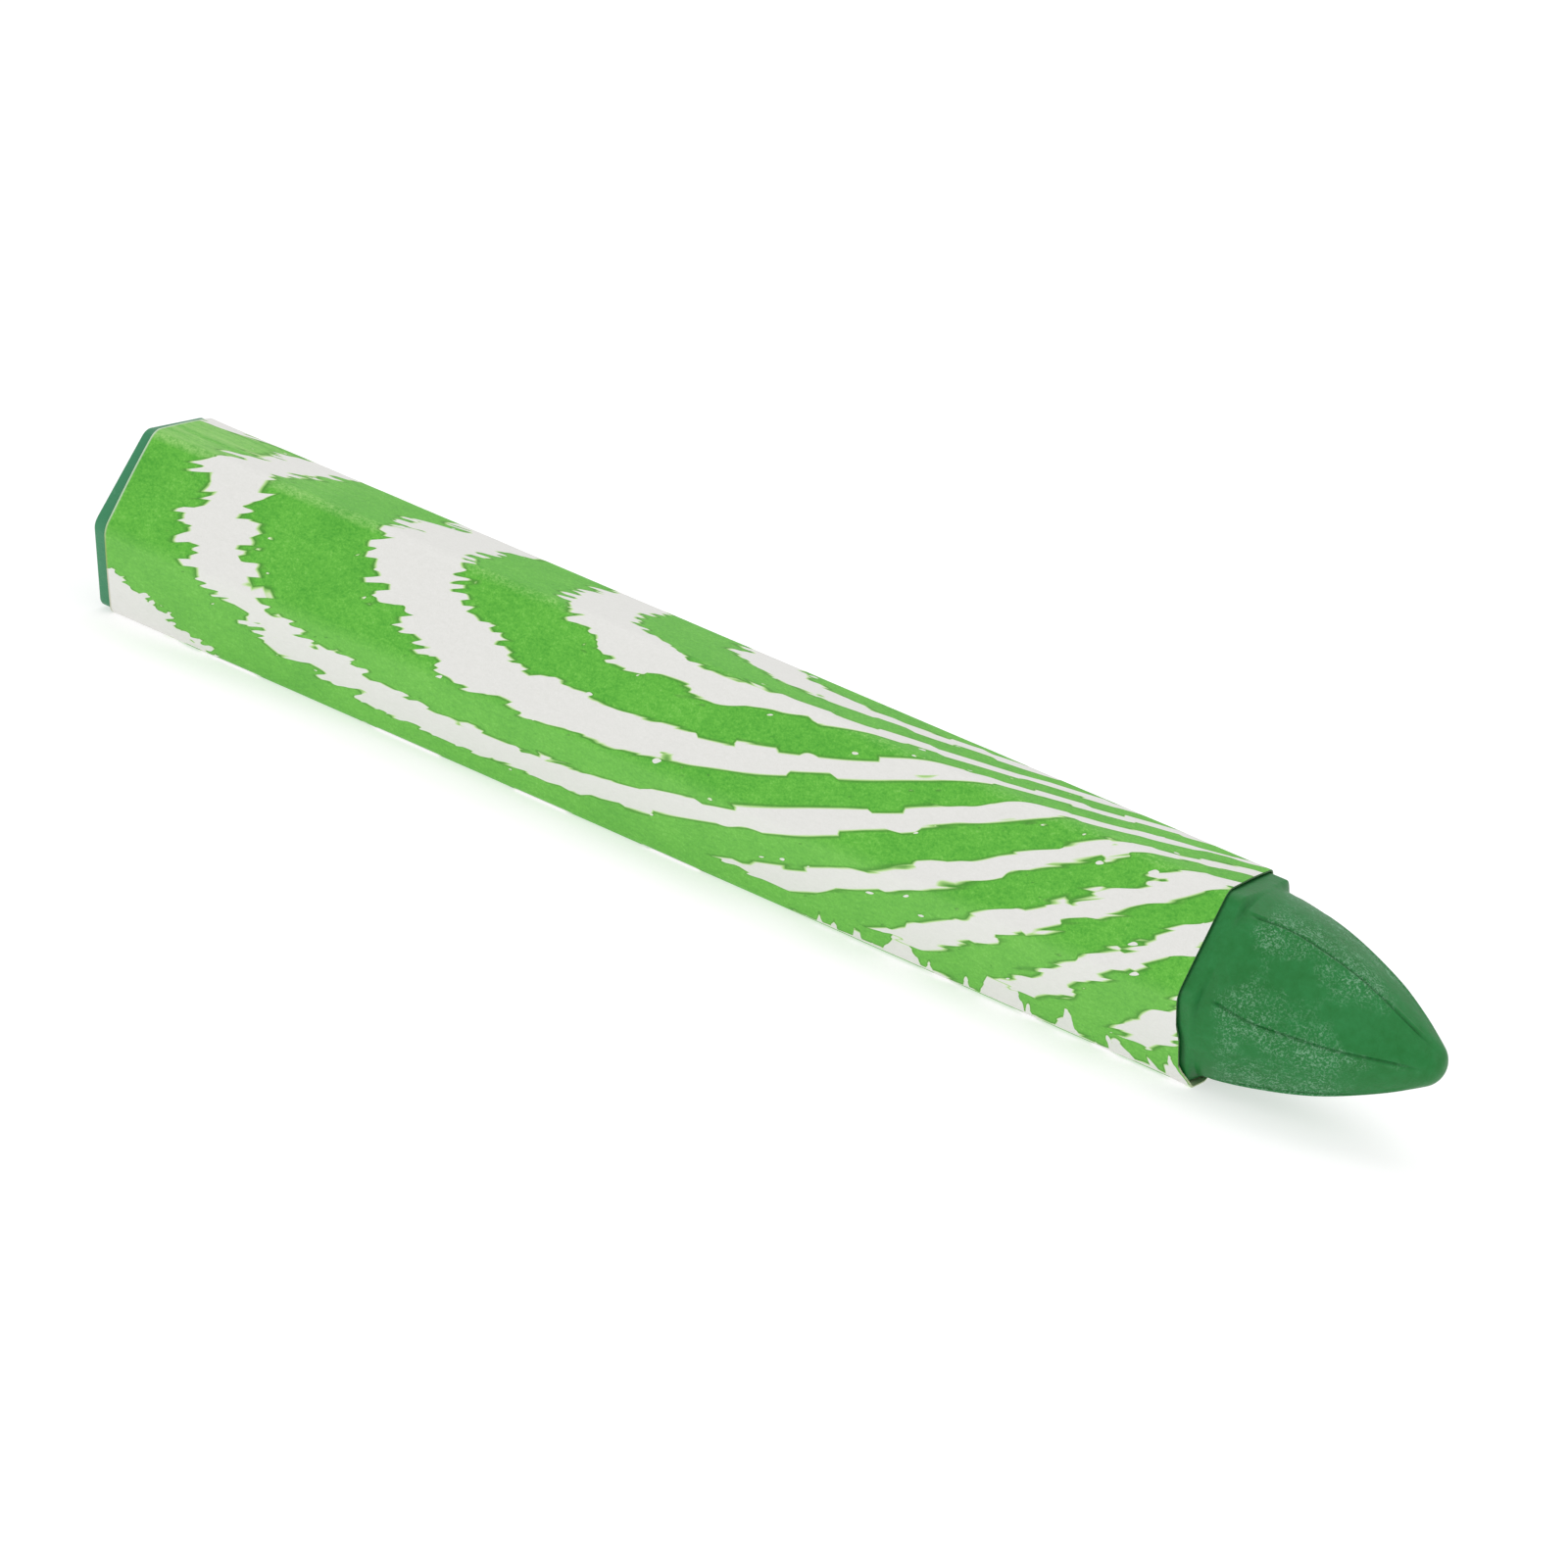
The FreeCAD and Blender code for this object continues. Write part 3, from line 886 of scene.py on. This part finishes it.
@dataclass
class PaperWrapper:
    """One sheet rolled round the shank, with its outer layer stepping up over its leading edge."""

    low: Vector
    high: Vector
    axis_height: float
    wax_half: float = 7.75
    arris_radius: float = 1.2
    clearance: float = 0.08
    thickness: float = 0.17
    seam_gap: float = 0.05
    overlap: float = 10.0
    leading_edge: float = -0.5
    step_ramp: float = 1.5
    step_gap: float = 0.1
    front_skew: float = 0.026
    front_setback: float = 0.2
    front_jog: float = 0.3
    front_wave: float = 0.05
    rear_skew: float = 0.3
    tongue: float = 1.0
    facet_bow: float = 0.045
    ripple: float = 0.012
    front_lift: float = 0.03
    corner_lift: float = 0.05
    rear_lift: float = 0.02
    printed: PrintedPaperFinish = field(default_factory=PrintedPaperFinish)
    bare: BarePaperFinish = field(default_factory=BarePaperFinish)

    def roll(self) -> tuple[np.ndarray, np.ndarray, np.ndarray, np.ndarray]:
        """Follow the sheet round the shank from its leading edge to its trailing edge.

        A facet's stretch is straight and the next arris turns it by a sixth.

        Returns:
            For each place: the facet's number, the place along the facet from its middle (past the
            facet's end it counts on through the arris), the outer layer's extra lift, and whether
            it is on the arris, from 0 to 1.
        """
        flat_half = (self.wax_half - self.arris_radius) * math.tan(HALF_TURN)
        outer_step = self.thickness + self.seam_gap
        arris_arc = (self.arris_radius + self.clearance + outer_step) * TURN
        trailing = self.overlap - (flat_half - self.leading_edge) - arris_arc - flat_half
        flat = np.linspace(-flat_half, flat_half, 15)
        corner = np.linspace(0.0, 1.0, 11)[1:-1]
        facet, along, lift, turned = [], [], [], []

        def stretch(number: int, places: np.ndarray, lifted: np.ndarray, turn: np.ndarray) -> None:
            """Add one stretch of the roll."""
            facet.append(np.full(places.size, number))
            along.append(places)
            lift.append(lifted)
            turned.append(turn)

        def whole_arris(number: int, lifted: float) -> None:
            """Add the arris after a facet."""
            stretch(number, np.full(corner.size, flat_half), np.full(corner.size, lifted), corner)

        start = np.linspace(self.leading_edge, flat_half, 9)
        stretch(0, start, np.zeros(start.size), np.zeros(start.size))
        whole_arris(0, 0.0)
        for number in range(1, SIDES):
            stretch(number, flat, np.zeros(flat.size), np.zeros(flat.size))
            whole_arris(number, 0.0)
        climb_end = self.leading_edge - self.step_gap
        climb_start = climb_end - self.step_ramp
        before = np.linspace(-flat_half, climb_start, 4)[:-1]
        climb = np.linspace(climb_start, climb_end, 10)[:-1]
        after = np.linspace(climb_end, flat_half, 11)
        last = np.concatenate([before, climb, after])
        raised = outer_step * smooth_step(last, climb_start, climb_end)
        stretch(SIDES, last, raised, np.zeros(last.size))
        whole_arris(SIDES, outer_step)
        end = np.linspace(-flat_half, trailing, 12)
        stretch(SIDES + 1, end, np.full(end.size, outer_step), np.zeros(end.size))
        return tuple(np.concatenate(part) for part in (facet, along, lift, turned))

    def unrolled_turn(self) -> float:
        """Length of one turn of the sheet on its outer side, in millimetres."""
        flat = 2.0 * (self.wax_half - self.arris_radius) * math.tan(HALF_TURN)
        return SIDES * flat + 2.0 * math.pi * (self.arris_radius + self.clearance + self.thickness)

    def front_shift(self, around: np.ndarray) -> np.ndarray:
        """How far the front edge is cut ahead of its nominal place, in millimetres.

        The cut is askew, and steps ahead past the lower arris of the camera's facet.
        """
        jog = self.front_jog * (smooth_step(around, 7.3, 9.3) - smooth_step(around, 20.0, 24.0))
        wave = self.front_wave * waviness(np.zeros_like(around), around, 17.0, 6.0)
        return self.front_skew * np.clip(around, -14.0, 14.0) - self.front_setback + jog + wave

    def tongue_shift(self, around: np.ndarray) -> np.ndarray:
        """How far the tongue of the front edge stands out under the crayon, in millimetres."""
        return self.tongue * (smooth_step(around, 11.8, 13.4) - smooth_step(around, 16.0, 21.0))

    def layer(self, lift: np.ndarray, roll: tuple[np.ndarray, ...]) -> np.ndarray:
        """Section of the sheet at a height over the wax: y and z of each place from the axis.

        lift may have one row for each section, as the sheet stands off by a different amount.
        """
        facet, along, _, turned = roll
        angle = FACET_0_ANGLE + facet * TURN
        inner = self.wax_half - self.arris_radius
        centre = inner / math.cos(HALF_TURN)
        normal = angle + turned * TURN
        on_arris = turned > 0.0
        crown = angle + HALF_TURN
        flat_y = inner * np.cos(angle) - np.sin(angle) * along
        flat_z = inner * np.sin(angle) + np.cos(angle) * along
        base_y = np.where(on_arris, centre * np.cos(crown), flat_y)
        base_z = np.where(on_arris, centre * np.sin(crown), flat_z)
        reach = self.arris_radius + lift
        return np.stack([base_y + reach * np.cos(normal), base_z + reach * np.sin(normal)], axis=-1)

    def build(self) -> bpy.types.Object:
        """Make the sheet as a closed slab: printed outer side, bare inner side and four cut edges."""
        roll = self.roll()
        facet, along, extra, turned = roll
        flat_half = (self.wax_half - self.arris_radius) * math.tan(HALF_TURN)
        rear = self.low.x / MM
        front = self.high.x / MM
        length = front - rear
        sections = np.concatenate([
            np.linspace(0.0, 1.0, 9)[:-1],
            np.linspace(1.0, length - 3.0, 118)[:-1],
            np.linspace(length - 3.0, length, 17),
        ])
        outline = self.layer(self.clearance + self.thickness + extra, roll)
        steps = np.hypot(*np.diff(outline, axis=0).T)
        unrolled = np.concatenate([[0.0], np.cumsum(steps)])
        camera_middle = np.where((facet == CAMERA_FACET) & (np.abs(along) < 1e-9))[0][0]
        around = unrolled - unrolled[camera_middle]
        s = sections[:, None]
        c = around[None, :]

        bow = (1.0 - (along / flat_half) ** 2) * (turned == 0.0) * (facet != 5) * (facet < SIDES)
        bow = self.facet_bow * np.maximum(bow, 0.0)[None, :] * (1.0 + 0.6 * waviness(s, c, 31.0, 1.0))
        lower_corner = np.exp(-((c - 13.2) / 2.0) ** 2)
        front_lift = self.front_lift + self.corner_lift * lower_corner
        loose_front = smooth_step(s, length - 2.6, length) * front_lift
        loose_rear = (1.0 - smooth_step(s, 0.0, 1.6)) * self.rear_lift
        ripple = self.ripple * waviness(s, c, 14.0, 4.0)
        loose = np.maximum(bow + loose_front + loose_rear + ripple, 0.0)
        lift = self.clearance + extra[None, :] + loose
        rear_cut = self.rear_skew * (smooth_step(c, -4.0, 6.0) - smooth_step(c, 14.0, 24.0))
        x = rear + s + rear_cut * (1.0 - smooth_step(s, 0.0, 8.0))
        front_cut = self.front_shift(c) + self.tongue_shift(c)
        x = x + front_cut * smooth_step(s, length - 14.0, length)

        layers = []
        for height in (lift + self.thickness, lift):
            section = self.layer(height, roll)
            z = np.maximum(section[..., 1] + self.axis_height / MM, 0.0)
            layers.append(np.stack([x, section[..., 0], z], axis=-1))
        rows, columns = x.shape
        points = np.concatenate([layers[0].reshape(-1, 3), layers[1].reshape(-1, 3)]) * MM
        count = rows * columns
        outer = grid_faces(rows, columns)[:, ::-1]
        inner = grid_faces(rows, columns, first=count)
        edges = [self.edge_faces(np.arange(columns), count),
                 self.edge_faces(np.arange(columns)[::-1] + (rows - 1) * columns, count),
                 self.edge_faces(np.arange(rows)[::-1] * columns, count),
                 self.edge_faces(np.arange(rows) * columns + columns - 1, count)]
        faces = np.concatenate([outer, inner] + edges)
        piece = add_piece("rolled_wrapper", points, faces, 40.0)
        self.dress(piece, len(outer), sections, around, turned)
        return piece

    def edge_faces(self, border: np.ndarray, count: int) -> np.ndarray:
        """Quads between the outer and the inner side along one cut edge."""
        start, end = border[:-1], border[1:]
        return np.stack([start, end, end + count, start + count], axis=-1)[:, ::-1]

    def dress(self, piece: bpy.types.Object, printed_faces: int, sections: np.ndarray,
              around: np.ndarray, turned: np.ndarray) -> None:
        """Give the sheet its unrolled coordinates and its two materials.

        Args:
            piece: the wrapper.
            printed_faces: how many of the first faces are the printed side.
            sections: millimetres from the rear edge of each row of vertices.
            around: unrolled millimetres round the sheet of each column.
            turned: how far through an arris each column is.
        """
        arris = np.where(turned > 0.0, 4.0 * turned * (1.0 - turned), 0.0)
        s, c, a = np.broadcast_arrays(sections[:, None], around[None, :], arris[None, :])
        side = np.stack([s, c, a], axis=-1).reshape(-1, 3)
        sheet = piece.data.attributes.new("sheet", "FLOAT_VECTOR", "POINT")
        sheet.data.foreach_set("vector", np.concatenate([side, side]).ravel().astype(np.float32))
        piece.data.materials.append(self.printed.build())
        piece.data.materials.append(self.bare.build())
        index = np.full(len(piece.data.polygons), Face.BARE.value, dtype=np.int32)
        index[:printed_faces] = Face.PRINTED.value
        piece.data.polygons.foreach_set("material_index", index)
        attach(piece, "root")
        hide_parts("paper_wrapper")


@dataclass
class GlueFilms:
    """The two films of paste, whose shapes are the design's own."""

    nodes: tuple[str, ...] = ("seam_glue", "lead_edge_glue")
    finish: GlueFinish = field(default_factory=GlueFinish)

    def dress(self) -> list[bpy.types.Object]:
        """Give both films their finish."""
        paste = self.finish.build()
        films = [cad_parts[name] for name in self.nodes]
        for film in films:
            film.data.materials.clear()
            film.data.materials.append(paste)
        return films


# ---- the studio ----


@dataclass(frozen=True)
class Softbox:
    """A square area light: its place and side in metres, and its power in watts."""

    name: str
    place: tuple[float, float, float]
    side: float
    power: float


@dataclass
class Studio:
    """Pale floor that glows a little, soft light from all round and a long lens."""

    target: Vector
    distance: float = 0.584
    azimuth: float = 23.15
    elevation: float = 17.1
    roll: float = 16.25
    lens: float = 170.0
    sensor_width: float = 36.0
    floor_half: float = 4.0
    floor_grey: float = 0.50
    floor_glow: float = 0.60
    room_strength: float = 0.74
    softboxes: tuple[Softbox, ...] = (
        Softbox("key_softbox", (0.55, -0.75, 0.95), 0.9, 1.0),
        Softbox("top_softbox", (-0.25, 0.25, 1.15), 1.0, 3.3),
        Softbox("low_fill", (-0.25, -1.10, 0.32), 0.5, 1.45),
        Softbox("tip_softbox", (0.95, 0.05, 0.55), 0.6, 1.1),
    )

    def floor(self) -> None:
        """Lay a wide pale floor under the crayon."""
        corners = np.array([[-1.0, -1.0], [1.0, -1.0], [1.0, 1.0], [-1.0, 1.0]]) * self.floor_half
        points = np.column_stack([corners, np.zeros(4)])
        floor = add_piece("studio_floor", points, np.array([[0, 1, 2, 3]]), 30.0)
        shader = Shader("pale_floor")
        shader.set(Base_Color=(*(self.floor_grey,) * 3, 1.0), Roughness=0.9, Specular_IOR_Level=0.1)
        shader.set(Emission_Color=(1.0, 1.0, 1.0, 1.0), Emission_Strength=self.floor_glow)
        floor.data.materials.append(shader.material)

    def hang(self, softbox: Softbox) -> None:
        """Hang one softbox so that it faces the crayon."""
        lamp = bpy.data.lights.new(softbox.name, "AREA")
        lamp.shape = "SQUARE"
        lamp.size = softbox.side
        lamp.energy = softbox.power
        holder = bpy.data.objects.new(softbox.name, lamp)
        holder.location = softbox.place
        facing = self.target - Vector(softbox.place)
        holder.rotation_euler = facing.to_track_quat("-Z", "Y").to_euler()
        bpy.context.scene.collection.objects.link(holder)

    def surroundings(self) -> None:
        """Light the scene evenly from a white room."""
        world = bpy.data.worlds.new("white_room")
        world.use_nodes = True
        background = world.node_tree.nodes["Background"]
        background.inputs["Color"].default_value = (1.0, 1.0, 1.0, 1.0)
        background.inputs["Strength"].default_value = self.room_strength
        bpy.context.scene.world = world
        bpy.context.scene.view_settings.view_transform = "Standard"

    def camera(self) -> None:
        """Place the camera by its angles about the crayon, tipped about its own line of sight."""
        azimuth = math.radians(self.azimuth)
        elevation = math.radians(self.elevation)
        away = Vector((
            math.cos(elevation) * math.sin(azimuth),
            -math.cos(elevation) * math.cos(azimuth),
            math.sin(elevation),
        ))
        data = bpy.data.cameras.new("camera")
        data.lens = self.lens
        data.sensor_width = self.sensor_width
        holder = bpy.data.objects.new("camera", data)
        level = (-away).to_track_quat("-Z", "Y").to_matrix()
        tipped = level @ Matrix.Rotation(math.radians(self.roll), 3, "Z")
        holder.matrix_world = Matrix.Translation(self.target + away * self.distance) @ tipped.to_4x4()
        bpy.context.scene.collection.objects.link(holder)
        bpy.context.scene.camera = holder

    def build(self) -> None:
        """Set up the whole studio."""
        self.surroundings()
        self.floor()
        for softbox in self.softboxes:
            self.hang(softbox)
        self.camera()


def report_piece(piece: bpy.types.Object) -> None:
    """Log a piece's name and how finely it is made."""
    LOG.info("%s: %d vertices, %d faces", piece.name, len(piece.data.vertices), len(piece.data.polygons))


def main() -> None:
    """Build the pieces and the studio, in order."""
    logging.basicConfig(level=logging.INFO, format="%(name)s: %(message)s")
    wax_low, wax_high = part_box("wax_stick")
    paper_low, paper_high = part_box("paper_wrapper")
    axis_height = (paper_low.z + paper_high.z) / 2.0
    wrapper = PaperWrapper(paper_low, paper_high, axis_height)
    report_piece(WaxStick(wax_low, wax_high, axis_height, wrapper).build())
    report_piece(wrapper.build())
    for film in GlueFilms().dress():
        report_piece(film)
    Studio(Vector((MM, 0.0, axis_height))).build()


if __name__ == "__main__":
    main()
